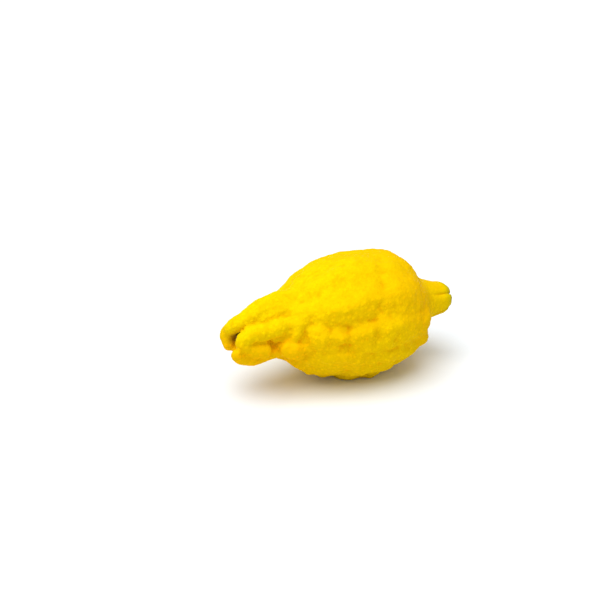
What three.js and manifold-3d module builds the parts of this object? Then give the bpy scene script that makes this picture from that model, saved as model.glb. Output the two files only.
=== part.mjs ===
// A ripe citron as picked, lying on its side: a rough-skinned fruit with a knuckled neck of fused fingers
// round the stem at one end, a grooved nipple at the other, and the cut stem stub down in its hollow.
//
// Millimetres, +Z up. The fruit's axis runs along +X, from the neck to the nipple. A place on the fruit is
// given by its station x along the axis, its turn about the axis in degrees (0 is the top, 90 faces -Y)
// and how far out from the axis it is. The origin is at the middle of the underside, on the surface
// that the fruit lies on.
import * as THREE from "three";
import { ImprovedNoise } from "three/addons/math/ImprovedNoise.js";
import { mergeVertices } from "three/addons/utils/BufferGeometryUtils.js";
import Module from "manifold-3d";

// Driving dimensions
const AXIS_HEIGHT = 47.8;
const BODY = { x: 112, radius: 48.5, toNeck: 68, toNipple: 58, neckPower: 2, nipplePower: 2.5 };
const NIPPLE = { rootX: 160, rootRise: 3.6, rootRadius: 20.6, tipX: 186.6, tipRise: 0, tipRadius: 13.6 };
const SCAR = { x: 199.4, radius: 5.6, depth: 1.6, rimSoft: 3 };
const STEM = { rootX: 25, endX: 13, radius: 2.5, calyxX: 18.5, calyxRadius: 4.4, calyxThickness: 1.6 };
const STEM_GAP = 0.3;

// How softly neighbouring forms run into each other
const SOFT = { finger: 1.5, neck: 4.5, body: 5, nipple: 8 };

// The core of the neck, as [x, radius]
const NECK_CORE = [[66, 26], [50, 18.5], [36, 13.5], [28, 10]];

// The fused fingers, each a spine of [x, turn, out, radius] from its root in the body to its tip
const FINGERS = {
  top: [[60, 6, 24, 7.4], [52, 2, 23, 9.2], [43, -2, 21, 9.8], [33, 0, 19.4, 9.2], [24, 5, 16, 8],
    [17, 4, 13.6, 7], [12.6, -14, 9.6, 6], [11.4, -48, 8.4, 5.6], [9.4, -92, 9.4, 5.5],
    [10, -134, 9.8, 5.2]],
  front: [[46, 56, 20.6, 6.4], [40, 57, 20.8, 7], [34, 60, 18.8, 5.9], [28, 61, 18.2, 6.6],
    [20, 61, 16.8, 6.6], [14.5, 68, 15.6, 6.2]],
  hook: [[13, 80, 14.8, 5.8], [14, 92, 15.2, 5.4], [20, 101, 16.4, 5.7], [28, 106, 18, 6]],
  web: [[54, 18, 21, 7.2], [43, 18, 18.2, 7], [32, 22, 15, 6.5], [24, 30, 12, 6]],
  tongue: [[46, 68, 18.6, 5.4], [38.5, 78, 16.6, 4]],
  under: [[45, 118, 18, 5.6], [34, 126, 17.2, 5.5], [21.5, 134, 17.6, 5.4], [12, 123, 17, 5],
    [6.5, 107, 16.8, 4.4]],
  shoulder: [[58, 40, 25.6, 6.4], [55, 60, 25, 6], [52.5, 77, 24.6, 5.4]],
  knob: [[45.5, 101, 23.6, 7], [50.5, 102, 26, 7.3]],
  keel: [[54, 176, 17, 7.4], [42, 182, 13.5, 7.6], [29, 188, 13.5, 7.4], [17, 186, 12, 6.2]],
  farUnder: [[58, 222, 22, 7.6], [44, 224, 18, 8.2], [30, 230, 14.5, 7.6], [16, 232, 11.5, 6.4]],
  far: [[56, 268, 21.5, 8], [43, 266, 17.5, 8], [31, 272, 15, 8], [17, 268, 11, 6.4]],
  farTop: [[60, 316, 23.6, 7.8], [47, 312, 18.5, 8], [33, 318, 14.5, 7.6], [20, 314, 10.6, 6]],
  keelKnob: [[55, 152, 21, 6], [60, 148, 26.5, 6.4]],
  farKnob: [[54, 246, 22.5, 7], [51, 244, 21.5, 6.4]],
  farTopKnob: [[56, 291, 24, 6.4], [60, 293, 26, 6]],
};

// Relief of the body: each stroke is [height, width, its line of [x, turn]]; a negative height is a furrow
const STROKES = [
  [-1.8, 4.6, [[62, 64], [71, 67], [80, 71]]],
  [-2.9, 4.4, [[87, 73], [97, 73], [106, 71]]],
  [-2.3, 7.5, [[114, 67], [123, 65]]],
  [-1.3, 5.0, [[124, 70], [136, 72], [152, 73]]],
  [1.5, 7.5, [[60, 45], [76, 51], [98, 54]]],
  [-2.6, 4.0, [[56, 27], [60, 28]]],
  [-1.8, 4.5, [[64, 29], [71, 31]]],
  [-1.5, 5.5, [[86, 32], [96, 34]]],
  [-1.5, 5.0, [[107, 32], [121, 35]]],
  [-2.6, 5.0, [[131, 8], [126, 26], [122, 40]]],
  [-2.0, 3.4, [[57.5, 72], [55, 83], [54, 100]]],
  [2.8, 8.5, [[64, 85], [64, 94]]],
  [-2.6, 3.2, [[56, 115], [61, 109], [62, 100]]],
  [-2.2, 3.2, [[72.5, 72], [74, 80], [73, 92], [69, 100]]],
  [2.2, 5.5, [[79.5, 82]]],
  [-2.0, 3.2, [[87, 77], [87, 85], [84, 94]]],
  [-2.2, 3.4, [[78, 96], [88, 96], [93, 102]]],
  [1.6, 6.0, [[82, 106]]],
  [-1.8, 6.0, [[142, 138]]],
  [1.4, 8.0, [[62, 318], [70, 320]]],
  [2.4, 5.5, [[92, 82], [101, 80]]],
  [-2.3, 3.4, [[110, 78], [109, 88]]],
  [-2.4, 3.2, [[102, 105], [110, 107]]],
  [1.8, 5.0, [[100, 94]]],
  [1.8, 5.0, [[72, 110]]],
  [1.6, 5.0, [[97, 112]]],
  [1.6, 5.0, [[117, 96]]],
  [-1.8, 3.2, [[124, 88], [125, 98]]],
  [1.9, 6.5, [[118, 82], [129, 86]]],
  [-1.9, 3.6, [[114, 102], [133, 104], [152, 109], [164, 107]]],
  [1.6, 6.0, [[120, 116], [140, 119], [158, 120]]],
  [2.2, 7.5, [[60, 126]]],
  [2.2, 8.0, [[66, 154]]],
  [-1.6, 6.0, [[80, 146]]],
  [1.6, 8.0, [[100, 162]]],
  [4.2, 8.0, [[118, 156]]],
  [-2.4, 4.5, [[90, 132], [90, 150], [88, 170]]],
  [-2.2, 4.5, [[110, 138], [110, 152]]],
  [1.0, 9, [[103, 174], [110, 186]]],
  [-2.6, 5.0, [[133, 130], [131, 148], [132, 172]]],
  [2.6, 8.0, [[92, 196]]],
  [2.4, 8.0, [[122, 200]]],
  [-2.2, 4.5, [[60, 210], [80, 212], [104, 216], [130, 214]]],
  [1.6, 8.0, [[70, 232], [92, 236]]],
  [1.6, 8.0, [[116, 232], [138, 230]]],
  [-2.0, 4.5, [[62, 258], [84, 254], [108, 258], [134, 252], [158, 250]]],
  [-1.6, 4.0, [[98, 222], [100, 244]]],
  [-1.8, 4.0, [[88, 262], [86, 290]]],
  [1.6, 7.0, [[74, 276]]],
  [1.7, 8.0, [[104, 278], [124, 280]]],
  [-1.8, 4.5, [[66, 302], [92, 306], [120, 300], [150, 304]]],
  [-1.5, 4.0, [[138, 262], [136, 288]]],
  [1.4, 8.0, [[84, 330], [112, 328]]],
  [3.8, 11.0, [[150, 350], [157, 4]]],
  [2.4, 9.0, [[161, 88], [162, 112]]],
  [-1.3, 4.5, [[72, 350], [96, 352], [116, 346]]],
];

// How far out the surface lies where a stroke's width is measured round it
const STROKE_OUT = 43.6;

// Relief everywhere else: ribs along the fruit, pillows with furrows between them and smaller knuckles
const RIBS = { count: 9, height: 0.55, twist: 0.03, wander: 2, wanderLong: 60, wanderRound: 50 };
const PILLOWS = { long: 30, round: 19, height: 4.2, level: 0.2, most: 0.5, start: 4.1 };
const KNUCKLES = { size: 11, height: 0.9, level: 0.2, start: 3.1 };

// How far out from the axis the body's relief sets in, and where it is whole
const RELIEF_FROM = 8;
const RELIEF_WHOLE = 26;

// Waviness of the fingers, as [height, size]
const FINGER_WAVES = [[0.9, 12], [0.5, 6]];

// Grooves that run along the nipple to its scar, as [turn, depth]
const NIPPLE_GROOVES = [[52, 1.1], [125, 1.2], [192, 1], [246, 1.3], [301, 0.8]];
const NIPPLE_GROOVE = { width: 8, from: 2, whole: 7 };

// Stations up to which the neck reaches, and from which the nipple does
const NECK_REACH = 90;
const NIPPLE_REACH = 140;

// The lattice that the skin is drawn on: cells across, and its half width as [x, half width]
const CELLS_ACROSS = 26;
const LATTICE = [[-8, 26], [12, 28], [30, 33], [48, 42], [64, 57], [162, 57], [178, 44], [192, 28],
  [208, 26]];
const RELAXING_ROUNDS = 4;
const SETTLING_ROUNDS = 2;
const JUST_INSIDE = 0.01;

const noise = new ImprovedNoise();
const { PI, abs, cos, exp, hypot, max, min, sin } = Math;
const radians = (degrees) => THREE.MathUtils.degToRad(degrees);
const smoothstep = THREE.MathUtils.smoothstep;

// A point given by station, turn and distance out
const place = (x, turn, out) => new THREE.Vector3(x, -out * sin(radians(turn)), out * cos(radians(turn)));

// How far one turn is from another, from -180 to 180 degrees
const turnAway = (turn, from) => ((((turn - from) % 360) + 540) % 360) - 180;

// The lesser of two distances, with a soft fillet of size k where they are alike
function softMin(a, b, k) {
  const h = max(k - abs(a - b), 0) / k;
  return min(a, b) - (h * h * k) / 4;
}

const softMax = (a, b, k) => -softMin(-a, -b, k);

// A row of balls along a smooth spine, with two more between each pair of those given
function chain(centres, radii) {
  const steps = 3 * (radii.length - 1);
  const spine = new THREE.CatmullRomCurve3(centres, false, "centripetal");
  const balls = [];
  for (let i = 0; i <= steps; i++) {
    const t = (i / steps) * (radii.length - 1);
    const j = min(Math.floor(t), radii.length - 2);
    const radius = THREE.MathUtils.lerp(radii[j], radii[j + 1], smoothstep(t - j, 0, 1));
    balls.push({ centre: spine.getPoint(i / steps), radius });
  }
  return balls;
}

const chains = Object.values(FINGERS).map((knots) =>
  chain(knots.map(([x, turn, out]) => place(x, turn, out)), knots.map((knot) => knot[3])));
const core = chain(NECK_CORE.map(([x]) => new THREE.Vector3(x, 0, 0)), NECK_CORE.map((knot) => knot[1]));

// Distance to a chain: the nearest of its tapered links
function chainDistance(balls, x, y, z) {
  let nearest = Infinity;
  for (let i = 1; i < balls.length; i++) {
    const a = balls[i - 1];
    const b = balls[i];
    const dx = b.centre.x - a.centre.x;
    const dy = b.centre.y - a.centre.y;
    const dz = b.centre.z - a.centre.z;
    const px = x - a.centre.x;
    const py = y - a.centre.y;
    const pz = z - a.centre.z;
    const t = min(1, max(0, (px * dx + py * dy + pz * dz) / (dx * dx + dy * dy + dz * dz)));
    const gap = hypot(px - t * dx, py - t * dy, pz - t * dz) - a.radius - t * (b.radius - a.radius);
    nearest = min(nearest, gap);
  }
  return nearest;
}

// Height of the strokes at a station and turn
function strokeHeight(x, turn) {
  let height = 0;
  const perDegree = radians(STROKE_OUT);
  for (const [peak, width, line] of STROKES) {
    let gap = Infinity;
    for (let i = 0; i < line.length; i++) {
      const a = line[max(0, i - 1)];
      const b = line[i];
      const away = turnAway(turn, a[1]);
      const px = x - a[0];
      const py = away * perDegree;
      const dx = b[0] - a[0];
      const dy = (b[1] - a[1]) * perDegree;
      const t = min(1, max(0, (px * dx + py * dy) / (dx * dx + dy * dy + 1e-9)));
      gap = min(gap, hypot(px - t * dx, py - t * dy));
    }
    height += peak * exp(-((gap / width) ** 2));
  }
  return height;
}

// Rounded pillows with furrows between them, from the folds of smooth noise
function pillowHeight(x, y, z) {
  const { long, round, height, level, most, start } = PILLOWS;
  const fold = abs(noise.noise(x / long + start, y / round, z / round));
  const { size } = KNUCKLES;
  const knuckle = abs(noise.noise(x / size, y / size + KNUCKLES.start, z / size));
  return height * (min(fold, most) - level) + KNUCKLES.height * (knuckle - KNUCKLES.level);
}

// The plump body, a round that is blunter towards the nipple, with its relief
function bodyDistance(x, y, z, turn) {
  const out = hypot(y, z);
  const toNeck = x < BODY.x;
  const reach = toNeck ? BODY.toNeck : BODY.toNipple;
  const power = toNeck ? BODY.neckPower : BODY.nipplePower;
  const along = abs(x - BODY.x) / reach;
  const across = out / BODY.radius;
  const size = (along ** power + across ** power) ** (1 / power);
  const steepness = hypot(along ** (power - 1) / reach, across ** (power - 1) / BODY.radius);
  const slope = size ** (1 - power) * steepness;
  const distance = (size - 1) / max(slope, 1e-6);
  const { count, height, twist, wander, wanderLong, wanderRound } = RIBS;
  const drift = wander * noise.noise(x / wanderLong, y / wanderRound, z / wanderRound);
  const ribs = height * cos(count * radians(turn) + twist * x + drift);
  const share = smoothstep(out, RELIEF_FROM, RELIEF_WHOLE);
  return distance - share * (strokeHeight(x, turn) + ribs + pillowHeight(x, y, z));
}

// The neck: its core, with the fingers grown onto it
function neckDistance(x, y, z) {
  let fingers = Infinity;
  for (const balls of chains) {
    fingers = softMin(fingers, chainDistance(balls, x, y, z), SOFT.finger);
  }
  let waves = 0;
  for (const [height, size] of FINGER_WAVES) {
    waves += height * noise.noise(x / size, y / size + 2, z / size + 5);
  }
  return softMin(fingers, chainDistance(core, x, y, z), SOFT.neck) - waves;
}

// The nipple: a tapered snout with grooves that end at a sunk, flat scar
function nippleDistance(x, y, z, turn) {
  const share = min(1, max(0, (x - NIPPLE.rootX) / (NIPPLE.tipX - NIPPLE.rootX)));
  const rise = THREE.MathUtils.lerp(NIPPLE.rootRise, NIPPLE.tipRise, share);
  const radius = THREE.MathUtils.lerp(NIPPLE.rootRadius, NIPPLE.tipRadius, share);
  const along = x - THREE.MathUtils.lerp(NIPPLE.rootX, NIPPLE.tipX, share);
  const out = hypot(y, z - rise);
  let groove = 0;
  for (const [at, depth] of NIPPLE_GROOVES) {
    const away = turnAway(turn, at);
    groove += depth * exp(-((away / NIPPLE_GROOVE.width) ** 2));
  }
  const grown = share * smoothstep(out, NIPPLE_GROOVE.from, NIPPLE_GROOVE.whole);
  const snout = hypot(along, out) - radius + grown * groove;
  const sunk = SCAR.depth * exp(-((out / SCAR.radius) ** 4));
  return softMax(snout, x - SCAR.x + sunk, SCAR.rimSoft);
}

// Signed distance to the whole fruit, about its own axis
function fruitDistance(x, y, z) {
  const turn = THREE.MathUtils.radToDeg(Math.atan2(-y, z));
  const nippleTurn = THREE.MathUtils.radToDeg(Math.atan2(-y, z - NIPPLE.tipRise));
  let distance = bodyDistance(x, y, z, turn);
  if (x < NECK_REACH) distance = softMin(distance, neckDistance(x, y, z), SOFT.body);
  if (x > NIPPLE_REACH) distance = softMin(distance, nippleDistance(x, y, z, nippleTurn), SOFT.nipple);
  return distance;
}

// Half width of the lattice at a station
function halfWidth(x) {
  const last = LATTICE.length - 1;
  const i = min(last, max(1, LATTICE.findIndex((knot) => knot[0] > x)));
  const [x0, w0] = LATTICE[i - 1];
  const [x1, w1] = LATTICE[i];
  return THREE.MathUtils.lerp(w0, w1, min(1, max(0, (x - x0) / (x1 - x0))));
}

// Stations of the lattice, as far apart as its cells are wide there
function latticeStations() {
  const stations = [];
  const end = LATTICE[LATTICE.length - 1][0];
  for (let x = LATTICE[0][0]; x < end; x += (2 * halfWidth(x)) / CELLS_ACROSS) stations.push(x);
  return stations;
}

// Moves a point down the field's slope onto the surface, by a millimetre a round at most
function settle(field, p) {
  const e = 0.05;
  for (let i = 0; i < SETTLING_ROUNDS; i++) {
    const here = field(p.x, p.y, p.z);
    const gx = (field(p.x + e, p.y, p.z) - field(p.x - e, p.y, p.z)) / (2 * e);
    const gy = (field(p.x, p.y + e, p.z) - field(p.x, p.y - e, p.z)) / (2 * e);
    const gz = (field(p.x, p.y, p.z + e) - field(p.x, p.y, p.z - e)) / (2 * e);
    const step = THREE.MathUtils.clamp(here / max(gx * gx + gy * gy + gz * gz, 0.05), -1, 1);
    p.set(p.x - step * gx, p.y - step * gy, p.z - step * gz);
  }
}

// Where the corners of a lattice face are inside and outside by turns, the outside one nearest to the skin
// is taken in, so that no edge of the net has more than two quads
function takeInCorners(values, corner, cells) {
  const steps = [[0, 0, 0], [0, 1, 0], [0, 1, 1], [0, 0, 1]];
  let taken = true;
  while (taken) {
    taken = false;
    for (let i = 0; i < cells[0]; i++)
      for (let j = 0; j < cells[1]; j++)
        for (let k = 0; k < cells[2]; k++)
          for (let axis = 0; axis < 3; axis++) {
            const ring = steps.map((step) => {
              const [a, b, c] = [0, 1, 2].map((along) => step[(along + 3 - axis) % 3]);
              return corner(i + a, j + b, k + c);
            });
            const inside = ring.map((at) => values[at] < 0);
            if (inside[0] === inside[1] || inside[0] !== inside[2] || inside[1] !== inside[3]) continue;
            const outer = ring.filter((at) => values[at] >= 0);
            values[values[outer[0]] < values[outer[1]] ? outer[0] : outer[1]] = -JUST_INSIDE;
            taken = true;
          }
  }
}

// The field's skin as a net of quads: one point in each lattice cell that the surface passes through, and
// one quad round each lattice edge that it crosses
function surfaceNet(field) {
  const stations = latticeStations();
  const n = CELLS_ACROSS + 1;
  const corner = (i, j, k) => (i * n + j) * n + k;
  const spot = (i, j, k) => {
    const w = halfWidth(stations[i]);
    return [stations[i], w * ((2 * j) / CELLS_ACROSS - 1), w * ((2 * k) / CELLS_ACROSS - 1)];
  };
  const values = new Float64Array(stations.length * n * n);
  for (let i = 0; i < stations.length; i++)
    for (let j = 0; j < n; j++)
      for (let k = 0; k < n; k++) values[corner(i, j, k)] = field(...spot(i, j, k));
  takeInCorners(values, corner, [stations.length - 1, CELLS_ACROSS, CELLS_ACROSS]);

  const points = [];
  const pointOf = new Map();
  const corners = [0, 1, 2, 3, 4, 5, 6, 7].map((c) => [c & 1, (c >> 1) & 1, (c >> 2) & 1]);
  const edges = corners.flatMap((a, ia) => corners.map((b, ib) => [ia, ib]))
    .filter(([ia, ib]) => ia < ib && [1, 2, 4].includes(ia ^ ib));
  for (let i = 0; i < stations.length - 1; i++)
    for (let j = 0; j < CELLS_ACROSS; j++)
      for (let k = 0; k < CELLS_ACROSS; k++) {
        const sum = new THREE.Vector3();
        let crossings = 0;
        for (const [ia, ib] of edges) {
          const a = [i + corners[ia][0], j + corners[ia][1], k + corners[ia][2]];
          const b = [i + corners[ib][0], j + corners[ib][1], k + corners[ib][2]];
          const va = values[corner(...a)];
          const vb = values[corner(...b)];
          if (va < 0 === vb < 0) continue;
          const from = new THREE.Vector3(...spot(...a));
          sum.add(from.lerp(new THREE.Vector3(...spot(...b)), va / (va - vb)));
          crossings++;
        }
        if (!crossings) continue;
        const p = sum.divideScalar(crossings);
        settle(field, p);
        pointOf.set(corner(i, j, k), points.length);
        points.push(p);
      }

  const quads = [];
  const steps = [[1, 0, 0], [0, 1, 0], [0, 0, 1]];
  for (let i = 1; i < stations.length - 1; i++)
    for (let j = 1; j < CELLS_ACROSS; j++)
      for (let k = 1; k < CELLS_ACROSS; k++)
        for (let axis = 0; axis < 3; axis++) {
          const d = steps[axis];
          const inside = values[corner(i, j, k)] < 0;
          if (inside === values[corner(i + d[0], j + d[1], k + d[2])] < 0) continue;
          const u = steps[(axis + 1) % 3];
          const v = steps[(axis + 2) % 3];
          const cell = (a, b) => pointOf.get(corner(i - a * u[0] - b * v[0], j - a * u[1] - b * v[1],
            k - a * u[2] - b * v[2]));
          const quad = [cell(0, 0), cell(1, 0), cell(1, 1), cell(0, 1)];
          quads.push(inside ? quad : quad.reverse());
        }
  return { points, quads };
}

// Evens out the net along the surface
function relax(field, { points, quads }) {
  const neighbours = points.map(() => new Set());
  for (const quad of quads)
    quad.forEach((a, i) => {
      neighbours[a].add(quad[(i + 1) % 4]);
      neighbours[quad[(i + 1) % 4]].add(a);
    });
  for (let round = 0; round < RELAXING_ROUNDS; round++) {
    const middles = neighbours.map((set) => {
      const middle = new THREE.Vector3();
      for (const i of set) middle.add(points[i]);
      return middle.divideScalar(set.size);
    });
    points.forEach((p, i) => {
      p.lerp(middles[i], 0.5);
      settle(field, p);
    });
  }
}

// Each quad as two triangles, split along its shorter diagonal
function netGeometry({ points, quads }) {
  const index = [];
  for (const [a, b, c, d] of quads) {
    const straight = points[a].distanceTo(points[c]) <= points[b].distanceTo(points[d]);
    index.push(...(straight ? [a, b, c, a, c, d] : [a, b, d, b, c, d]));
  }
  const geometry = new THREE.BufferGeometry().setFromPoints(points);
  geometry.setIndex(index);
  return geometry;
}

// The fruit's skin, lying on the surface: what would sink below it is pressed flat
function fruitSkin() {
  const net = surfaceNet(fruitDistance);
  relax(fruitDistance, net);
  for (const p of net.points) p.z = max(0, p.z + AXIS_HEIGHT);
  return netGeometry(net);
}

// A turned outline of [out, x] about the fruit's axis, pointing along +X
function turned(outline, sides) {
  const geometry = new THREE.LatheGeometry(outline.map(([out, x]) => new THREE.Vector2(out, x)), sides);
  geometry.rotateZ(-PI / 2);
  geometry.translate(0, 0, AXIS_HEIGHT);
  return geometry;
}

// The cut stem stub with its collar of five blunt sepals
function stemStub() {
  const { rootX, endX, radius, calyxX, calyxRadius, calyxThickness } = STEM;
  const geometry = turned([
    [0, endX + 0.3], [radius * 0.55, endX + 0.1], [radius * 0.98, endX + 0.2], [radius * 1.08, endX + 0.9],
    [radius, endX + 2.6], [radius * 1.05, calyxX - calyxThickness * 2],
    [radius * 1.35, calyxX - calyxThickness],
    [calyxRadius * 0.9, calyxX - calyxThickness * 0.75], [calyxRadius, calyxX - calyxThickness * 0.3],
    [calyxRadius * 0.85, calyxX], [radius, calyxX + 0.2], [radius, rootX], [0, rootX],
  ], 30);
  const position = geometry.getAttribute("position");
  for (let i = 0; i < position.count; i++) {
    const y = position.getY(i);
    const z = position.getZ(i) - AXIS_HEIGHT;
    const out = hypot(y, z);
    const sepal = cos(5 * Math.atan2(y, z));
    const collar = smoothstep(out, radius * 1.2, calyxRadius);
    const swell = 1 + 0.13 * collar * (sepal - 0.4);
    position.setY(i, y * swell);
    position.setZ(i, AXIS_HEIGHT + z * swell);
    position.setX(i, position.getX(i) - 0.35 * collar * (1 + sepal));
  }
  return geometry;
}

// The room that the stub takes up in the fruit, with its gap all round
function stemSocket() {
  const { rootX, radius, calyxX, calyxRadius, calyxThickness } = STEM;
  return turned([
    [0, -6], [radius * 1.1 + STEM_GAP, -6], [radius * 1.15 + STEM_GAP, calyxX - 2 * calyxThickness],
    [calyxRadius * 1.15 + STEM_GAP, calyxX - calyxThickness - 0.5],
    [calyxRadius * 1.1 + STEM_GAP, calyxX + STEM_GAP],
    [radius + STEM_GAP, calyxX + STEM_GAP + 0.1], [radius + STEM_GAP, rootX + STEM_GAP],
    [0, rootX + STEM_GAP],
  ], 24);
}

const wasm = await Module();
wasm.setup();

// A closed geometry as a solid that can be cut
function solid(geometry) {
  const bare = geometry.clone();
  bare.deleteAttribute("normal");
  bare.deleteAttribute("uv");
  const merged = mergeVertices(bare, 1e-4);
  return new wasm.Manifold(new wasm.Mesh({
    numProp: 3,
    vertProperties: new Float32Array(merged.getAttribute("position").array),
    triVerts: new Uint32Array(merged.index.array),
  }));
}

// A cut solid back as a geometry
function geometryOf(made) {
  const mesh = made.getMesh();
  const geometry = new THREE.BufferGeometry();
  geometry.setAttribute("position", new THREE.BufferAttribute(new Float32Array(mesh.vertProperties), 3));
  geometry.setIndex(new THREE.BufferAttribute(new Uint32Array(mesh.triVerts), 1));
  geometry.computeVertexNormals();
  return geometry;
}

const rind = new THREE.MeshStandardMaterial({ color: 0xf2c800, roughness: 0.42, metalness: 0 });
const wood = new THREE.MeshStandardMaterial({ color: 0x6b5a30, roughness: 0.85, metalness: 0 });

const fruit = new THREE.Mesh(geometryOf(solid(fruitSkin()).subtract(solid(stemSocket()))), rind);
fruit.name = "fruit";
const stem = new THREE.Mesh(stemStub(), wood);
stem.name = "stem";

const citron = new THREE.Group();
citron.add(fruit, stem);

// The fruit lies with the middle of its underside at the origin
const bounds = new THREE.Box3().setFromObject(citron);
const middle = bounds.getCenter(new THREE.Vector3());
citron.position.set(-middle.x, -middle.y, 0);

export default citron;
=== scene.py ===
# %% [markdown]
# A ripe citron, lying on its side. The solid model already has its shape at real size: the plump body, the
# knuckled neck of fused fingers and the grooved nipple. This lesson gives it the skin of the real fruit:
# finer wrinkles and furrows, the pits of the oil glands, and a waxy yellow that turns orange in the creases.
# Everything is in metres, with X along the fruit from its neck to its nipple and Z up.

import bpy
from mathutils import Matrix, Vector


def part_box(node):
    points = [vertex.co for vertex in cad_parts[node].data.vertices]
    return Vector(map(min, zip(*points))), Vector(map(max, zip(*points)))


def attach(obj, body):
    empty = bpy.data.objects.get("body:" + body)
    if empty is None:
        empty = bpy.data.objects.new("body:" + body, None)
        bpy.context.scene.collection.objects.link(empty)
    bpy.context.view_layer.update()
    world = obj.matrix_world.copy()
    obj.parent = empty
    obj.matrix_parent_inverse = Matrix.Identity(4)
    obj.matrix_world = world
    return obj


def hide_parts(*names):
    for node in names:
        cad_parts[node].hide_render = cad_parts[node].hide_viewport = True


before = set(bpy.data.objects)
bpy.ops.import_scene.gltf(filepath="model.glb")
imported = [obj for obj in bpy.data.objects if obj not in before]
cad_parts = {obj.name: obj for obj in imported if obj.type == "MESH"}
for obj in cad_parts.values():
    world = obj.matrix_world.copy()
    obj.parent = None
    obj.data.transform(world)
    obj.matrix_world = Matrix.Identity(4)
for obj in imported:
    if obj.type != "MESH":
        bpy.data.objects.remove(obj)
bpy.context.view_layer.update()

from math import cos, pi, radians, sin, tau

import bpy
import numpy as np
from mathutils import Matrix, Vector, noise

MM = 0.001

# %% [markdown]
# The camera comes first. The photograph looks down on the fruit from the side of its neck, through a long
# lens. The point in the middle of the fruit's axis lies at a known pixel, so the camera is placed by its
# two angles and then moved sideways until that point is seen there. Its sensor isn't shifted.

# %% Place the camera
FRAME_PIXELS = 600
FOCAL_PIXELS = 1282.0
SENSOR_WIDTH = 36.0
CLIP_START, CLIP_END = 0.05, 50.0
CAMERA_DISTANCE = 1.0
CAMERA_AZIMUTH = radians(-25.0)
CAMERA_ELEVATION = radians(25.0)
AXIS_POINT = Vector((-2.29, 0.27, 47.5)) * MM
AXIS_POINT_PIXEL = (337.0, 318.5)

camera_back = Vector((
    sin(CAMERA_AZIMUTH) * cos(CAMERA_ELEVATION),
    -cos(CAMERA_AZIMUTH) * cos(CAMERA_ELEVATION),
    sin(CAMERA_ELEVATION),
))
camera_right = Vector((cos(CAMERA_AZIMUTH), sin(CAMERA_AZIMUTH), 0.0))
camera_up = camera_back.cross(camera_right)
metres_per_pixel = CAMERA_DISTANCE / FOCAL_PIXELS
across = (AXIS_POINT_PIXEL[0] - FRAME_PIXELS / 2) * metres_per_pixel
down = (AXIS_POINT_PIXEL[1] - FRAME_PIXELS / 2) * metres_per_pixel
camera_place = AXIS_POINT - camera_right * across + camera_up * down + camera_back * CAMERA_DISTANCE

bpy.ops.object.select_all(action="DESELECT")
bpy.ops.object.camera_add(location=camera_place)
camera = bpy.context.active_object
camera.name = "camera"
camera.rotation_euler = Matrix((camera_right, camera_up, camera_back)).transposed().to_euler()
camera.data.sensor_width = SENSOR_WIDTH
camera.data.lens = FOCAL_PIXELS * SENSOR_WIDTH / FRAME_PIXELS
camera.data.clip_start = CLIP_START
camera.data.clip_end = CLIP_END
bpy.context.scene.camera = camera
print("camera", [round(v, 3) for v in camera_place], "lens", round(camera.data.lens, 2), "mm")

# %% [markdown]
# The skin starts as a copy of the solid's mesh. That mesh is a soup of loose triangles, so its doubles are
# merged first, and the triangles are paired back into quads, because Subdivision Surface makes a smooth,
# even net from quads. Two levels bring it down to less than a millimetre, fine enough for real wrinkles.

# %% Copy the fruit's solid as quads
MERGE_DISTANCE = 0.01 * MM
QUAD_BEND, QUAD_SKEW = radians(60), radians(70)


def select_only(piece):
    """Selects one object alone and makes it the active one."""
    bpy.ops.object.select_all(action="DESELECT")
    piece.select_set(True)
    bpy.context.view_layer.objects.active = piece


skin = bpy.data.objects.new("citron_skin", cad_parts["fruit"].data.copy())
bpy.context.scene.collection.objects.link(skin)
select_only(skin)
bpy.ops.object.mode_set(mode="EDIT")
bpy.ops.mesh.select_all(action="SELECT")
bpy.ops.mesh.remove_doubles(threshold=MERGE_DISTANCE)
bpy.ops.mesh.tris_convert_to_quads(face_threshold=QUAD_BEND, shape_threshold=QUAD_SKEW)
bpy.ops.object.mode_set(mode="OBJECT")
if skin.data.has_custom_normals:
    bpy.ops.mesh.customdata_custom_splitnormals_clear()
corner_counts = [len(face.vertices) for face in skin.data.polygons]
print("skin net", corner_counts.count(4), "quads and", corner_counts.count(3), "triangles")

# %% Make its mesh fine
SKIN_LEVELS = 2


def subdivide(piece, levels):
    """Rounds a piece with Subdivision Surface, for good, and shades it smooth."""
    modifier = piece.modifiers.new("fine", "SUBSURF")
    modifier.levels = levels
    modifier.render_levels = levels
    select_only(piece)
    bpy.ops.object.modifier_apply(modifier=modifier.name)
    bpy.ops.object.shade_smooth()


subdivide(skin, SKIN_LEVELS)
print("fine skin", len(skin.data.vertices), "vertices")

# %% [markdown]
# The finer relief is sculpted by moving each vertex along its normal, as the brushes of sculpt mode do. All
# of it is worked out on arrays: the places and normals of the vertices, and the edges, which say who is
# whose neighbour. Averaging every vertex with its neighbours a few times gives a smoothed copy. What stands
# out from that copy is a bump, and what lies below it is a crease.

# %% Read the mesh as arrays
def vector_array(items, name):
    """A vector that each of many items has, such as a vertex's place, as an array."""
    values = np.empty(len(items) * 3, np.float64)
    items.foreach_get(name, values)
    return values.reshape(-1, 3)


def move_vertices(mesh, places):
    """Puts the vertices at new places."""
    mesh.vertices.foreach_set("co", places.astype(np.float32).ravel())
    mesh.update()


def edge_array(mesh):
    """The two vertices of each edge."""
    ends = np.empty(len(mesh.edges) * 2, np.int64)
    mesh.edges.foreach_get("vertices", ends)
    return ends.reshape(-1, 2)


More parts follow.
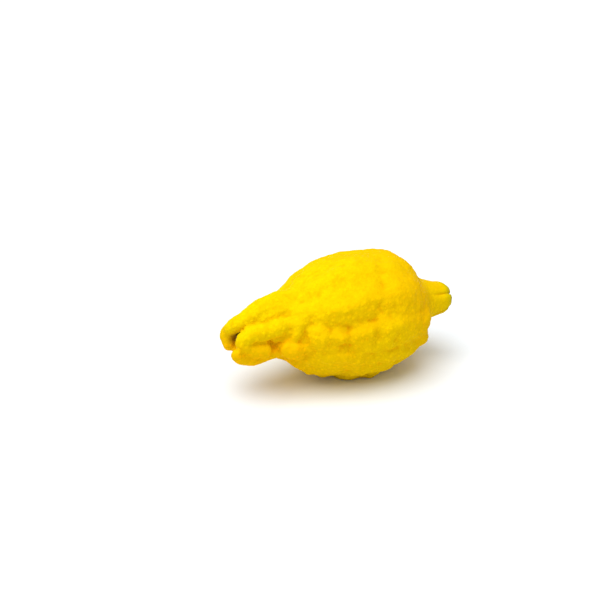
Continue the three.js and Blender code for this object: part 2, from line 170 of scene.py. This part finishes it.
def smoothed(values, ends, rounds):
    """Each vertex's value averaged with its neighbours', round after round."""
    count = np.bincount(ends.ravel(), minlength=len(values))[:, None]
    values = values.copy()
    for _ in range(rounds):
        total = np.zeros_like(values)
        for column in range(values.shape[1]):
            total[:, column] += np.bincount(ends[:, 0], values[ends[:, 1], column], len(values))
            total[:, column] += np.bincount(ends[:, 1], values[ends[:, 0], column], len(values))
        values = 0.5 * values + 0.5 * total / count
    return values


ends = edge_array(skin.data)
places = vector_array(skin.data.vertices, "co")
print("edges", len(ends), "from", len(places), "vertices")

# %% [markdown]
# Places on the fruit are given by how far along its axis they are and how far out from it, so that each part
# gets the skin that it has on the real fruit: the body is bumpy all over, the fingers of the neck are
# smoother, and the nipple has fine creases that run to its scar.

# %% Masks for the parts of the fruit
AXIS_Y = 0.27 * MM
AXIS_Z = 47.8 * MM
NECK_END, BODY_START = -55 * MM, -38 * MM
BODY_END, NIPPLE_START = 56 * MM, 74 * MM


def ramp(values, start, end):
    """0 before start, 1 after end, and smooth between them."""
    share = np.clip((values - start) / (end - start), 0, 1)
    return share * share * (3 - 2 * share)


along = places[:, 0]
out = np.hypot(places[:, 1] - AXIS_Y, places[:, 2] - AXIS_Z)
neck = 1 - ramp(along, NECK_END, BODY_START)
nipple = ramp(along, BODY_END, NIPPLE_START)
body = (1 - neck) * (1 - nipple)
print("vertices on the neck, body and nipple:", [int((part > 0.5).sum()) for part in (neck, body, nipple)])

# %% [markdown]
# Three sizes of relief lie over each other on a citron's rind. Lumps a centimetre across have furrows
# between them, like quilting. Small warts sit on them, about five millimetres apart. And thin wrinkles run
# along the fruit. They could be displacement in the material, but as geometry they also show in the outline.
# Folded noise, which is the absolute value of smooth noise, gives round lumps with sharp furrows, and the
# distance to the nearest of many scattered points gives the warts. Each pattern has a size, a start of its
# own in the noise, a height, and the level in it that stays where the skin is. The lumps are cut off at a
# top, so that none of them becomes a peak.

# %% Three patterns of relief
LUMPS = {"size": (13 * MM, 10 * MM, 10 * MM), "start": 3.0, "height": 1.5 * MM, "level": 0.22}
WARTS = {"size": (5.2 * MM, 4.6 * MM, 4.6 * MM), "start": 11.0, "height": 1.1 * MM, "level": 0.45}
WRINKLES = {"size": (12 * MM, 4.2 * MM, 4.2 * MM), "start": 7.0, "height": 0.2 * MM, "level": 0.2}
LUMP_TOP = 0.55


def stretched(place, pattern):
    """A place measured in the size of a pattern, from the pattern's start."""
    size = pattern["size"]
    return Vector((place[0] / size[0] + pattern["start"], place[1] / size[1], place[2] / size[2]))


def folded_noise(pattern):
    """Round lumps with sharp furrows between them, from 0 in the furrows."""
    return np.array([abs(noise.noise(stretched(place, pattern))) for place in places])


def scattered_points(pattern):
    """How far each vertex is from the nearest of many scattered points, 0 at a point."""
    return np.array([noise.voronoi(stretched(place, pattern))[0][0] for place in places])


lumps = LUMPS["height"] * (np.minimum(folded_noise(LUMPS), LUMP_TOP) - LUMPS["level"])
warts = WARTS["height"] * (WARTS["level"] - scattered_points(WARTS))
wrinkles = WRINKLES["height"] * (folded_noise(WRINKLES) - WRINKLES["level"])
for title, kind in (("lumps", lumps), ("warts", warts), ("wrinkles", wrinkles)):
    print(title, "from", round(kind.min() / MM, 2), "to", round(kind.max() / MM, 2), "mm")

# %% [markdown]
# This fruit's upper side is smoother than its flanks, so the relief is calmer where the skin faces up. The
# steady share of a relief is what this calm leaves as it is. The neck and the nipple have their own shares.

# %% Share the relief out over the fruit
TOP_CALM = 0.7
FACES_UP = (0.1, 0.75)
LUMP_SHARES = {"body": 1.0, "steady": 0.0, "neck": 0.35, "nipple": 0.2}
WART_SHARES = {"body": 1.0, "steady": 0.4, "neck": 0.5, "nipple": 0.3}
WRINKLE_SHARES = {"body": 0.7, "steady": 0.0, "neck": 0.8, "nipple": 1.2}


def shared_out(kind, shares):
    """One kind of relief, as strong as each part of the fruit has it."""
    steady = shares["steady"]
    on_body = shares["body"] * (steady + (1 - steady) * calm) * body
    return kind * (on_body + shares["neck"] * neck + shares["nipple"] * nipple)


normals = vector_array(skin.data.vertex_normals, "vector")
calm = 1 - TOP_CALM * ramp(normals[:, 2], *FACES_UP)
relief = shared_out(lumps, LUMP_SHARES) + shared_out(warts, WART_SHARES)
relief += shared_out(wrinkles, WRINKLE_SHARES)
print("relief from", round(relief.min() / MM, 2), "to", round(relief.max() / MM, 2), "mm")

# %% [markdown]
# The furrows between the fingers and the valleys of the body are pressed in a little deeper, because the
# coarse solid rounds them off. That is done as a sculptor's sharpening brush does it: what stands out from
# the smoothed skin is moved further out, and what lies below it further in, up to a limit. The fingers get
# more of it than the body, because they are parted by real clefts.

# %% Sharpen the furrows and lay on the relief
SHARPEN_ROUNDS = 24
SHARPEN_SHARE = 0.75
SHARPEN_LIMIT = 1.2 * MM
NECK_SHARE = 1.4

stands_out = ((places - smoothed(places, ends, SHARPEN_ROUNDS)) * normals).sum(axis=1)
sharpening = np.clip(SHARPEN_SHARE * stands_out, -SHARPEN_LIMIT, SHARPEN_LIMIT)
sharpening *= NECK_SHARE * neck + (1 - neck) * calm
places = places + normals * (relief + sharpening)[:, None]
print("sharpened by up to", round(np.abs(sharpening).max() / MM, 2), "mm")

# %% [markdown]
# The nipple ends in a scar, where the flower's style fell off. On the real fruit its rim is drawn together
# in small radial puckers, and the middle is sunk and corky. The puckers depend only on how far along and how
# far round the axis a vertex is, so they are worked out from those, and there is no need to cut them by
# hand. Some soft noise makes them wander a little, so that they aren't as even as the teeth of a gear.

# %% Pucker the scar
SCAR_X = 97.8 * MM
SCAR_RADIUS = 5.6 * MM
SCAR_EDGE = (0.75 * SCAR_RADIUS, 1.15 * SCAR_RADIUS)
PUCKERS = 17
PUCKER_DEPTH = 0.35 * MM
PUCKER_START = 7.0 * MM
PUCKER_WHOLE = 0.3 * PUCKER_START
PUCKER_WIDTH = 0.5 * SCAR_RADIUS
PUCKER_WANDER = 3
WANDER_SIZE = 3 * MM


def hump(values, middle, width):
    """1 in the middle, and softly down to 0 on both sides of it."""
    return np.exp(-(((values - middle) / width) ** 2))


scar_out = np.hypot(places[:, 1] - AXIS_Y, places[:, 2] - AXIS_Z)
scar_turn = np.arctan2(places[:, 1] - AXIS_Y, places[:, 2] - AXIS_Z)
near_scar = ramp(places[:, 0], SCAR_X - PUCKER_START, SCAR_X - PUCKER_WHOLE)
wander = np.array([noise.noise(Vector(place) / WANDER_SIZE) for place in places])
ring = near_scar * hump(scar_out, SCAR_RADIUS, PUCKER_WIDTH)
pucker = ring * (np.cos(PUCKERS * scar_turn + PUCKER_WANDER * wander) - 1) * PUCKER_DEPTH
scar = near_scar * (1 - ramp(scar_out, *SCAR_EDGE))
print("vertices on the scar", int((scar > 0.5).sum()))

# %% [markdown]
# The nipple also has a few seams that run to the scar. Each is given by its turn round the axis, in degrees
# from the top and first down the side that the camera sees, and by its depth in millimetres. With the
# puckers and the seams in place, the greenish rim of the scar is marked for the colours, with an edge that
# wanders as well.

# %% Press in the nipple's seams
NIPPLE_SEAMS = ((52, 0.8), (129, 0.9), (192, 0.5), (246, 0.7), (301, 0.4))
SEAM_WIDTH = 0.75 * MM
SEAM_START, SEAM_WHOLE = 71 * MM, 87 * MM
RIM_START = 6.5 * MM
RIM_WANDER = 1.6 * MM

seam = np.zeros(len(places))
for turn, depth in NIPPLE_SEAMS:
    away = np.abs((scar_turn + radians(turn) + pi) % tau - pi)
    seam += depth * MM * hump(away * scar_out, 0, SEAM_WIDTH)
seam *= ramp(places[:, 0], SEAM_START, SEAM_WHOLE)
places = places + normals * (pucker - seam)[:, None]
rim = ramp(places[:, 0] + RIM_WANDER * wander, SCAR_X - RIM_START, SCAR_X)
print("seams up to", round(seam.max() / MM, 2), "mm deep")

# %% [markdown]
# The fruit has to stay inside the box of the solid model and lie on the same surface, so no vertex may pass
# either. Where the relief would sink into the surface, the skin is pressed flat, as its own weight does.

# %% Keep the skin within the solid's box
low, high = (np.array(corner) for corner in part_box("fruit"))
places = np.clip(places, low, high)
move_vertices(skin.data, places)
print("skin", [round(v / MM, 1) for v in places.max(axis=0) - places.min(axis=0)], "mm")

# %% [markdown]
# The colours follow the surface, so they need to know where the creases, the scar and the hollow round the
# stem are. Each is kept as an attribute of the vertices, which the material reads, because a painted image
# would need a file of its own. The creases come from the finished shape in the same way as the sharpening
# did. The creases and the hollow are painted darker, as painted shade, and the upper side towards the neck
# is painted a paler, brighter yellow, as painted light from above. The low fingers are a warmer yellow, the
# foot of the nipple is a little orange, and the nipple's tip is still green.

# %% Work out the masks
CREASE_ROUNDS = 16
CREASE_DEPTH = 0.8 * MM
# Painted shade: the hollow round the stem is painted a dark brown.
HOLLOW_X = (-95 * MM, -83 * MM)
HOLLOW_OUT = (3.5 * MM, 6.5 * MM)
# Painted light: the upper side towards the neck is painted a paler, brighter yellow, as if lit more.
PAINTED_LIGHT_HEIGHT = (66 * MM, 112 * MM)
PAINTED_LIGHT_SLOPE = 0.5
WARM_HEIGHT, WARM_X = (58 * MM, 40 * MM), (-34 * MM, -52 * MM)
GREEN_X = (84 * MM, 97 * MM)
FOOT_X, FOOT_WIDTH = 58 * MM, 12 * MM
FOOT_HEIGHT = (58 * MM, 86 * MM)
FOOT_FADE = 0.8

normals = vector_array(skin.data.vertex_normals, "vector")
stands_out = ((places - smoothed(places, ends, CREASE_ROUNDS)) * normals).sum(axis=1)
foot = hump(places[:, 0], FOOT_X, FOOT_WIDTH) * (1 - FOOT_FADE * ramp(places[:, 2], *FOOT_HEIGHT))
masks = {
    # painted shade: the creases are painted a darker orange
    "crease_shade": ramp(-stands_out, 0, CREASE_DEPTH),
    "scar": scar,
    "rim": rim,
    # painted shade in the hollow round the stem
    "hollow": ramp(places[:, 0], *HOLLOW_X) * (1 - ramp(out, *HOLLOW_OUT)) * neck,
    "nipple": nipple,
    # painted light on the upper side towards the neck
    "painted_top_light": ramp(places[:, 2] - PAINTED_LIGHT_SLOPE * places[:, 0], *PAINTED_LIGHT_HEIGHT),
    "calm": 1 - calm,
    "warm": ramp(places[:, 2], *WARM_HEIGHT) * ramp(places[:, 0], *WARM_X),
    "green": ramp(places[:, 0], *GREEN_X),
    "foot": foot,
}
print("masks", {name: round(float(values.mean()), 3) for name, values in masks.items()})

# %% Keep the masks as attributes
def keep_attribute(mesh, name, values):
    """Stores a number for each vertex under a name that a material can read."""
    layer = mesh.attributes.new(name, "FLOAT", "POINT")
    layer.data.foreach_set("value", values.astype(np.float32))


for name, values in masks.items():
    keep_attribute(skin.data, name, values)
print("kept", len(masks), "masks on", len(skin.data.vertices), "vertices")

# %% [markdown]
# The rind's material. Oil glands cover it as fine pits, a little under two millimetres apart, and between
# them the rind swells into beads of three to four millimetres. Both are too fine for the mesh, so they are
# bump and not geometry. One pattern serves for both at two sizes. It is a group, because the stem's bark
# uses it as well. A few small helpers keep the trees of nodes short to write. The Mix node has a set of
# sockets for each kind of value, all with the same names, so those for colours are picked by number.

# %% Node helpers
MIX_SHARE, MIX_FIRST, MIX_SECOND, MIX_RESULT = 0, 6, 7, 2


def new_material(name):
    """An empty material with a Principled shader, and its node tree."""
    material = bpy.data.materials.new(name)
    material.use_nodes = True
    tree = material.node_tree
    return material, tree, tree.nodes["Principled BSDF"]


def add_node(tree, kind, **settings):
    """A node with its settings. A key of the form in_NAME or in_NUMBER sets that input."""
    node = tree.nodes.new(kind)
    for key, value in settings.items():
        if key.startswith("in_"):
            socket = key[3:]
            node.inputs[int(socket) if socket.isdigit() else socket].default_value = value
        else:
            setattr(node, key, value)
    return node


def feed(tree, value, socket):
    """Gives a socket its value, which is a plain one or comes from another socket."""
    if isinstance(value, bpy.types.NodeSocket):
        tree.links.new(value, socket)
    else:
        socket.default_value = value


def read_attribute(tree, name):
    """The number that the vertices keep under a name."""
    return add_node(tree, "ShaderNodeAttribute", attribute_name=name).outputs["Fac"]


print("node helpers made")

# %% Helpers for values and colours
def mix_colours(tree, share, first, second):
    """A colour mixed from two, each of which is a colour or a socket."""
    node = add_node(tree, "ShaderNodeMix", data_type="RGBA")
    for value, number in ((share, MIX_SHARE), (first, MIX_FIRST), (second, MIX_SECOND)):
        feed(tree, value, node.inputs[number])
    return node.outputs[MIX_RESULT]


def remap(tree, value, low_in, high_in, low_out=0.0, high_out=1.0):
    """A value stretched from one range to another, and held inside it."""
    node = add_node(tree, "ShaderNodeMapRange", in_1=low_in, in_2=high_in, in_3=low_out, in_4=high_out)
    tree.links.new(value, node.inputs[0])
    return node.outputs[0]


def times(tree, first, second):
    """The product of two values, of which the second may be a plain number."""
    node = add_node(tree, "ShaderNodeMath", operation="MULTIPLY")
    tree.links.new(first, node.inputs[0])
    feed(tree, second, node.inputs[1])
    return node.outputs[0]


def bump(tree, height, strength, depth, below=None, inward=False):
    """The normal of a surface with bumps, over the normal of those below them."""
    node = add_node(tree, "ShaderNodeBump", in_Distance=depth, invert=inward)
    tree.links.new(height, node.inputs["Height"])
    feed(tree, strength, node.inputs["Strength"])
    if below is not None:
        tree.links.new(below, node.inputs["Normal"])
    return node.outputs["Normal"]


print("helpers for values and colours made")

# %% The pits as a group
PIT_SOFTNESS = 0.35
PIT_SCATTER = 0.9
PIT_SLOPE = (0.05, 0.5)
PIT_MIDDLE = (0.08, 0.34)


def pit_group():
    """Scattered pits on Object coordinates: their height, and a mask that is 1 in the middle of each."""
    group = bpy.data.node_groups.new("pits", "ShaderNodeTree")
    group.interface.new_socket("Vector", in_out="INPUT", socket_type="NodeSocketVector")
    group.interface.new_socket("Scale", in_out="INPUT", socket_type="NodeSocketFloat")
    group.interface.new_socket("Height", in_out="OUTPUT", socket_type="NodeSocketFloat")
    group.interface.new_socket("Mask", in_out="OUTPUT", socket_type="NodeSocketFloat")
    inside = add_node(group, "NodeGroupInput")
    result = add_node(group, "NodeGroupOutput")
    cells = add_node(group, "ShaderNodeTexVoronoi", feature="SMOOTH_F1")
    cells.inputs["Smoothness"].default_value = PIT_SOFTNESS
    cells.inputs["Randomness"].default_value = PIT_SCATTER
    group.links.new(inside.outputs["Vector"], cells.inputs["Vector"])
    group.links.new(inside.outputs["Scale"], cells.inputs["Scale"])
    height = remap(group, cells.outputs["Distance"], *PIT_SLOPE)
    mask = remap(group, cells.outputs["Distance"], *PIT_MIDDLE, 1.0, 0.0)
    group.links.new(height, result.inputs["Height"])
    group.links.new(mask, result.inputs["Mask"])
    return group


pits = pit_group()
print("group", pits.name, "with", len(pits.nodes), "nodes")

# %% The rind's textures
PITS_PER_METRE = 560.0
BEADS_PER_METRE = 290.0
PATCHES = {"scale": 22.0, "detail": 2.0, "roughness": 0.5}
BLOTCHES = {"scale": 120.0, "detail": 2.0, "roughness": 0.6}
MOTTLE = {"scale": 290.0, "detail": 2.0, "roughness": 0.5}
CALM_BUMPS = 0.4


def scattered_pits(tree, place, per_metre):
    """The group of pits, with so many of them to the metre."""
    node = add_node(tree, "ShaderNodeGroup", node_tree=pits)
    node.inputs["Scale"].default_value = per_metre
    tree.links.new(place, node.inputs["Vector"])
    return node


def cloudy_noise(tree, place, scale, detail, roughness):
    """A soft, irregular pattern."""
    node = add_node(tree, "ShaderNodeTexNoise", in_Scale=scale, in_Detail=detail, in_Roughness=roughness)
    tree.links.new(place, node.inputs["Vector"])
    return node.outputs["Fac"]


rind, rind_tree, rind_shader = new_material("rind")
rind_place = add_node(rind_tree, "ShaderNodeTexCoord").outputs["Object"]
glands = scattered_pits(rind_tree, rind_place, PITS_PER_METRE)
beads = scattered_pits(rind_tree, rind_place, BEADS_PER_METRE)
patches = cloudy_noise(rind_tree, rind_place, **PATCHES)
blotches = cloudy_noise(rind_tree, rind_place, **BLOTCHES)
mottle = cloudy_noise(rind_tree, rind_place, **MOTTLE)
mask = {name: read_attribute(rind_tree, name) for name in masks}
bumpy = remap(rind_tree, mask["calm"], 0.0, TOP_CALM, 1.0, CALM_BUMPS)
print("rind textures", len(rind_tree.nodes), "nodes")

# %% [markdown]
# A ripe citron isn't one yellow. Broad patches lean to lemon, where the rind is thinner over each gland it
# is darker, and the tip of the nipple ripens last. The upper side is painted paler, as painted light, and
# the creases, the valleys between the beads and the hollow round the stem are painted darker, as painted
# shade. The tints lie over each other like glazes, each with its own mask, and a later one covers an
# earlier one. With each tint goes where in its mask it starts, where it is whole, and how strong it is
# there.

# %% The rind's tints
YELLOW = (0.93, 0.56, 0.001, 1.0)
LEMON = (0.89, 0.60, 0.001, 1.0)
# The paler, brighter yellow of the painted light on the upper side.
PAINTED_LIGHT_YELLOW = (0.95, 0.69, 0.001, 1.0)
GOLD = (0.91, 0.50, 0.001, 1.0)
WARM_YELLOW = (0.97, 0.50, 0.001, 1.0)
ORANGE = (0.78, 0.31, 0.001, 1.0)
GLAND = (0.80, 0.43, 0.001, 1.0)
# Painted shade: a darker olive for the valleys between the beads.
BEAD_VALLEY_SHADE = (0.70, 0.46, 0.001, 1.0)
TIP_GREEN = (0.58, 0.53, 0.001, 1.0)
SCAR_OLIVE = (0.42, 0.34, 0.02, 1.0)
SCAR_BROWN = (0.16, 0.10, 0.02, 1.0)
# The dark brown of the painted shade in the hollow round the stem.
HOLLOW_SHADE_BROWN = (0.22, 0.10, 0.012, 1.0)
BEAD_FOOT = (0.45, 1.0)

# Painted shade: the valleys between the beads are darkened, less where the skin faces up.
shade_between_beads = times(rind_tree, remap(rind_tree, beads.outputs["Height"], *BEAD_FOOT), bumpy)
tints = (
    (LEMON, patches, 0.4, 0.68, 1.0),
    (LEMON, mask["nipple"], 0.0, 1.0, 0.8),
    # painted light: a paler, brighter yellow on the upper side
    (PAINTED_LIGHT_YELLOW, mask["painted_top_light"], 0.0, 1.0, 1.0),
    (GOLD, blotches, 0.48, 0.72, 0.6),
    (WARM_YELLOW, mask["warm"], 0.0, 1.0, 1.0),
    (ORANGE, mask["foot"], 0.0, 1.0, 0.35),
    (TIP_GREEN, mask["green"], 0.0, 1.0, 0.8),
    # painted shade: a darker orange in the creases
    (ORANGE, mask["crease_shade"], 0.0, 1.0, 0.85),
    (GLAND, glands.outputs["Mask"], 0.0, 1.0, 0.3),
    (GLAND, mottle, 0.5, 0.8, 0.4),
    # painted shade: a darker olive in the valleys between the beads
    (BEAD_VALLEY_SHADE, shade_between_beads, 0.0, 1.0, 0.5),
    (SCAR_OLIVE, mask["rim"], 0.0, 1.0, 1.0),
    (SCAR_OLIVE, mask["scar"], 0.0, 0.6, 1.0),
    (SCAR_BROWN, mask["scar"], 0.4, 1.0, 1.0),
    # painted shade: dark brown in the hollow round the stem
    (HOLLOW_SHADE_BROWN, mask["hollow"], 0.0, 1.0, 1.0),
)
colour = YELLOW
for tint, where, start, whole, strength in tints:
    colour = mix_colours(rind_tree, remap(rind_tree, where, start, whole, 0.0, strength), colour, tint)
rind_tree.links.new(colour, rind_shader.inputs["Base Color"])
print("rind colour from", len(tints), "tints")

# %% [markdown]
# The rind has a thin, waxy sheen, tinted by the yellow below it, and not the hard gloss of a lemon. So its
# reflections are weak, and their roughness follows the mottling. Three bumps follow one another, from the
# pits through the beads to the roughest, and the last two are weaker where the skin is calm.

# %% The rind's finish
MOTTLE_RANGE = (0.3, 0.7)
WAX_ROUGHNESS = (0.4, 0.52)
WAX_IOR = 1.1
WAX_LEVEL = 0.05
WAX_TINT = (1.0, 0.75, 0.05, 1.0)
PIT_BUMP, PIT_DEPTH = 0.55, 0.25 * MM
BEAD_BUMP, BEAD_HEIGHT = 0.7, 0.6 * MM
ROUGH_BUMP, ROUGH_HEIGHT = 0.8, 0.9 * MM

waxy = remap(rind_tree, mottle, *MOTTLE_RANGE, *WAX_ROUGHNESS)
rind_tree.links.new(waxy, rind_shader.inputs["Roughness"])
rind_shader.inputs["IOR"].default_value = WAX_IOR
rind_shader.inputs["Specular IOR Level"].default_value = WAX_LEVEL
rind_shader.inputs["Specular Tint"].default_value = WAX_TINT

bead_bump = times(rind_tree, bumpy, BEAD_BUMP)
rough_bump = times(rind_tree, bumpy, ROUGH_BUMP)
pitted = bump(rind_tree, glands.outputs["Height"], PIT_BUMP, PIT_DEPTH)
beaded = bump(rind_tree, beads.outputs["Height"], bead_bump, BEAD_HEIGHT, below=pitted, inward=True)
rough = bump(rind_tree, mottle, rough_bump, ROUGH_HEIGHT, below=beaded)
rind_tree.links.new(rough, rind_shader.inputs["Normal"])

skin.data.materials.clear()
skin.data.materials.append(rind)
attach(skin, "root")
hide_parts("fruit")
print("skin has", len(skin.data.polygons), "faces and the material", skin.data.materials[0].name)

# %% [markdown]
# The cut stem stub stands in the hollow of the neck, on a collar of five blunt sepals. It starts as a round
# face at its root, and its end face is extruded outwards and resized again and again, as it would be by
# hand, to give the shaft, the collar and the chamfered cut. Each step is given by how far it is from the
# root and by its radius, in millimetres. The cut face is then inset three times, by so much inwards and so
# much down, and the last time a little up again, because a dried cut sinks round its pith.

# %% Model the stem
STEM_SIDES = 40
STEM_RADIUS = 2.5 * MM
STEM_STEPS = (
    (6.1, 2.45), (6.45, 3.3), (6.8, 4.0), (7.4, 4.1), (7.95, 3.5), (8.2, 2.75), (8.9, 2.5), (9.8, 2.36),
    (10.7, 2.4), (11.2, 2.5), (11.5, 2.42), (11.62, 2.2),
)
CUT_INSETS = ((0.35, 0.12), (0.5, 0.1), (0.6, -0.12))

stem_low, stem_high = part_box("stem")
stem_root = Vector((stem_high[0], AXIS_Y, AXIS_Z))
bpy.ops.object.select_all(action="DESELECT")
bpy.ops.mesh.primitive_circle_add(
    vertices=STEM_SIDES, radius=STEM_RADIUS, fill_type="NGON", location=stem_root, rotation=(0, -pi / 2, 0)
)
stem = bpy.context.active_object
stem.name = "stem_stub"
bpy.ops.object.transform_apply(location=True, rotation=True, scale=True)
bpy.ops.object.mode_set(mode="EDIT")
bpy.ops.mesh.select_all(action="SELECT")
reached, radius = 0.0, STEM_RADIUS / MM
for length, wanted in STEM_STEPS:
    step = (-(length - reached) * MM, 0, 0)
    bpy.ops.mesh.extrude_region_move(TRANSFORM_OT_translate={"value": step})
    share = wanted / radius
    middle = stem_root - Vector((length * MM, 0, 0))
    bpy.ops.transform.resize(value=(1, share, share), center_override=middle)
    reached, radius = length, wanted
for inset, sink in CUT_INSETS:
    bpy.ops.mesh.inset(thickness=inset * MM)
    bpy.ops.transform.translate(value=(sink * MM, 0, 0))
bpy.ops.mesh.select_all(action="SELECT")
bpy.ops.mesh.normals_make_consistent(inside=False)
bpy.ops.object.mode_set(mode="OBJECT")
print("stem", len(stem.data.vertices), "vertices,", round(reached, 1), "mm long")

# %% [markdown]
# The collar is parted into sepals, and the bark gets its ridges, by moving the vertices. Two levels of
# Subdivision Surface round the stub first. The heights of the ridges and knots, and the swell of the sepals
# with the gaps between them, are shares of how far out from the axis a vertex is.

# %% Shape the collar and the bark
STEM_LEVELS = 2
COLLAR_OUT = (1.1 * STEM_RADIUS, 4.1 * MM)
SEPALS = 5
SEPAL_BLUNTNESS = 0.6
SEPAL_SWELL, SEPAL_GAP = 0.22, 0.2
SEPAL_LIFT = 0.5 * MM
RIDGES, RIDGE_HEIGHT, RIDGE_WANDER = 11, 0.05, 2
KNOT_SIZE, KNOT_STRETCH, KNOT_HEIGHT = 1.1 * MM, 3, 0.06

subdivide(stem, STEM_LEVELS)
stem_places = vector_array(stem.data.vertices, "co")
off_axis = stem_places - np.array([0.0, AXIS_Y, AXIS_Z])
stem_out = np.hypot(off_axis[:, 1], off_axis[:, 2])
stem_turn = np.arctan2(off_axis[:, 1], off_axis[:, 2])
collar = ramp(stem_out, *COLLAR_OUT)
sepal = np.abs(np.cos(SEPALS * stem_turn / 2)) ** SEPAL_BLUNTNESS
knots = np.array([noise.noise(Vector((x / KNOT_STRETCH, y, z)) / KNOT_SIZE) for x, y, z in stem_places])
ridges = RIDGE_HEIGHT * np.cos(RIDGES * stem_turn + RIDGE_WANDER * knots) + KNOT_HEIGHT * knots
swell = 1 + collar * (SEPAL_SWELL * sepal - SEPAL_GAP) + (1 - collar) * ridges
stem_places[:, 1] = AXIS_Y + off_axis[:, 1] * swell
stem_places[:, 2] = AXIS_Z + off_axis[:, 2] * swell
stem_places[:, 0] -= collar * sepal * SEPAL_LIFT
stem_places = np.clip(stem_places, np.array(stem_low), np.array(stem_high))
move_vertices(stem.data, stem_places)
print("stem", [round(v / MM, 1) for v in stem_places.max(axis=0) - stem_places.min(axis=0)], "mm")

# %% [markdown]
# The stub's bark is dry and brown, the collar still a little green, and the cut face has dried to a dull
# brown. Attributes of the vertices say where the cut and the collar are, as they did on the rind.

# %% Mark the cut and the collar
CUT_FADE = (0.25 * MM, 0.8 * MM)

from_cut = stem_places[:, 0] - stem_places[:, 0].min()
cut = 1 - ramp(from_cut, *CUT_FADE)
keep_attribute(stem.data, "cut", cut)
keep_attribute(stem.data, "collar", collar)
print("vertices on the cut and the collar:", int((cut > 0.5).sum()), "and", int((collar > 0.5).sum()))

# %% The stem's material
BARK = (0.16, 0.105, 0.04, 1.0)
BARK_LIGHT = (0.30, 0.22, 0.10, 1.0)
COLLAR_GREEN = (0.20, 0.19, 0.05, 1.0)
CUT_WOOD = (0.17, 0.09, 0.02, 1.0)
GRAIN = {"scale": 900.0, "detail": 4.0, "roughness": 0.5}
GRAIN_RANGE = (0.35, 0.65)
SPECKS_PER_METRE = 1500.0
SPECK_STRENGTH = 0.4
BARK_ROUGHNESS = 0.8
BARK_BUMP, BARK_DEPTH = 0.6, 0.2 * MM


def stem_material():
    """Dry bark with a greenish collar and a cut face that has dried brown."""
    material, tree, shader = new_material("stem_wood")
    place = add_node(tree, "ShaderNodeTexCoord").outputs["Object"]
    grain = cloudy_noise(tree, place, **GRAIN)
    specks = scattered_pits(tree, place, SPECKS_PER_METRE).outputs["Mask"]
    colour = mix_colours(tree, remap(tree, grain, *GRAIN_RANGE), BARK, BARK_LIGHT)
    colour = mix_colours(tree, read_attribute(tree, "collar"), colour, COLLAR_GREEN)
    colour = mix_colours(tree, read_attribute(tree, "cut"), colour, CUT_WOOD)
    colour = mix_colours(tree, remap(tree, specks, 0.0, 1.0, 0.0, SPECK_STRENGTH), colour, BARK)
    tree.links.new(colour, shader.inputs["Base Color"])
    tree.links.new(bump(tree, grain, BARK_BUMP, BARK_DEPTH), shader.inputs["Normal"])
    shader.inputs["Roughness"].default_value = BARK_ROUGHNESS
    return material


stem.data.materials.append(stem_material())
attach(stem, "root")
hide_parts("stem")
print("stem has", len(stem.data.polygons), "faces")

# %% [markdown]
# The studio is plain: a pale floor that runs on out of sight, a soft sky of even white, and one broad lamp
# high up on the left and a little in front, so that the shadow falls softly to the right.

# %% Floor
FLOOR_SIZE = 12.0
FLOOR_ROUGHNESS = 0.7
FLOOR_LEVEL = 0.1
COOL_WHITE = (0.89, 0.93, 0.97, 1.0)

bpy.ops.object.select_all(action="DESELECT")
bpy.ops.mesh.primitive_plane_add(size=FLOOR_SIZE, location=(0, 0, 0))
floor = bpy.context.active_object
floor.name = "floor"
floor_material, _, floor_shader = new_material("floor")
floor_shader.inputs["Base Color"].default_value = COOL_WHITE
floor_shader.inputs["Roughness"].default_value = FLOOR_ROUGHNESS
floor_shader.inputs["Specular IOR Level"].default_value = FLOOR_LEVEL
floor.data.materials.append(floor_material)
print("floor", FLOOR_SIZE, "m")

# %% [markdown]
# The sky lights the fruit less than the lamp does, but the camera should see it as white as the floor. So it
# has two strengths, one for the camera's rays and one for the light.

# %% Sky
WHITE = (1.0, 1.0, 1.0, 1.0)
SKY_STRENGTH = 0.45
SKY_SEEN = 1.0

world = bpy.data.worlds.new("studio")
bpy.context.scene.world = world
world.use_nodes = True
sky_tree = world.node_tree
sky_light = sky_tree.nodes["Background"]
sky_light.inputs["Color"].default_value = WHITE
sky_light.inputs["Strength"].default_value = SKY_STRENGTH
sky_seen = add_node(sky_tree, "ShaderNodeBackground", in_Color=WHITE, in_Strength=SKY_SEEN)
sky = add_node(sky_tree, "ShaderNodeMixShader")
sky_tree.links.new(add_node(sky_tree, "ShaderNodeLightPath").outputs["Is Camera Ray"], sky.inputs[0])
sky_tree.links.new(sky_light.outputs[0], sky.inputs[1])
sky_tree.links.new(sky_seen.outputs[0], sky.inputs[2])
sky_tree.links.new(sky.outputs[0], sky_tree.nodes["World Output"].inputs["Surface"])
print("sky strength", SKY_STRENGTH, "and", SKY_SEEN, "to the camera")

# %% [markdown]
# The lamp is a sun with a wide angle, as large as a soft box close by would look from the fruit. The
# Standard view transform then shows the yellow as full as it is, where the default one would pale it.

# %% Lamp
LAMP_STRENGTH = 2.72
LAMP_SPREAD = radians(62)
LAMP_AZIMUTH = radians(-110)
LAMP_ELEVATION = radians(72)
LAMP_DISTANCE = 2.0

towards_lamp = Vector((
    sin(LAMP_AZIMUTH) * cos(LAMP_ELEVATION),
    cos(LAMP_AZIMUTH) * cos(LAMP_ELEVATION),
    sin(LAMP_ELEVATION),
))
bpy.ops.object.light_add(type="SUN", location=towards_lamp * LAMP_DISTANCE)
lamp = bpy.context.active_object
lamp.name = "soft_lamp"
lamp.data.energy = LAMP_STRENGTH
lamp.data.angle = LAMP_SPREAD
lamp.rotation_euler = towards_lamp.to_track_quat("Z", "Y").to_euler()
bpy.context.scene.view_settings.view_transform = "Standard"
print("lamp towards", [round(v, 2) for v in towards_lamp])
